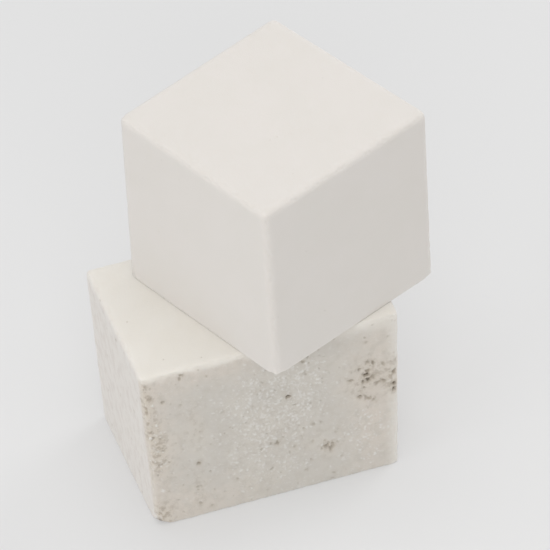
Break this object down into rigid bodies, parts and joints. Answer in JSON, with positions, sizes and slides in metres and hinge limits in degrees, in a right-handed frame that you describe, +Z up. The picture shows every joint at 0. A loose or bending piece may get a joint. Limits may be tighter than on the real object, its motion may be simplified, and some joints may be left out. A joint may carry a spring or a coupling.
{
  "type": "gymnastics chalk block",
  "caption": "Stacked pressed-chalk blocks for dry grip: a smooth near-cube stands turned on a rougher, pitted brick and lifts off it.",
  "frame": {"origin": "centre of the lower block's underside, on the surface that the pair stands on", "axes": "+Z up; +X along the lower block's long side; +Y from its rough front face towards its back"},
  "size_m": [0.0824, 0.0727, 0.1051],
  "materials": {
    "rough_chalk": "matte",
    "smooth_chalk": "matte"
  },
  "bodies": {
    "lower": {"lower_block": "rough_chalk"},
    "upper": {"upper_block": "smooth_chalk"}
  },
  "joints": [
    {"name": "upper_lift", "type": "slide", "parent": "lower", "child": "upper", "axis": [0, 0, 1], "range_m": [0, 0.08]}
  ]
}
